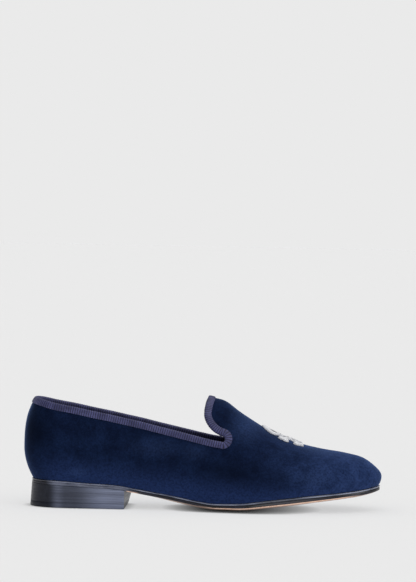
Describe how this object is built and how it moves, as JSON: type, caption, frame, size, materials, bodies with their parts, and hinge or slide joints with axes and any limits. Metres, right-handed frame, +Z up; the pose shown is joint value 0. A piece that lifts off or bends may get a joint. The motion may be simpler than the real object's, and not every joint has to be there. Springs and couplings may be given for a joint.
{
  "type": "velvet slipper loafer",
  "caption": "Right velvet slipper shoe with a tabbed vamp, a ribbed ribbon binding round the collar, a thin leather sole and a low stacked heel.",
  "frame": {"origin": "On the floor under the middle of the heel seat, at the heel's rest face.", "axes": "+X towards the toe along the shoe's length, +Y towards the medial side, +Z up."},
  "size_m": [0.297, 0.0979, 0.0935],
  "materials": {
    "velvet": "matte",
    "ribbon": "matte",
    "sole_leather": "satin",
    "heel_leather": "satin",
    "heel_rubber": "satin",
    "thread": "satin",
    "lining": "matte"
  },
  "bodies": {
    "root": {"upper": "velvet", "collar_binding": "ribbon", "outsole": "sole_leather", "insole": "lining", "heel_lift_1": "heel_leather", "heel_lift_2": "heel_leather", "heel_lift_3": "heel_leather", "heel_top_piece": "heel_rubber", "skull_embroidery": "thread", "crossbones_embroidery": "thread"}
  },
  "joints": []
}
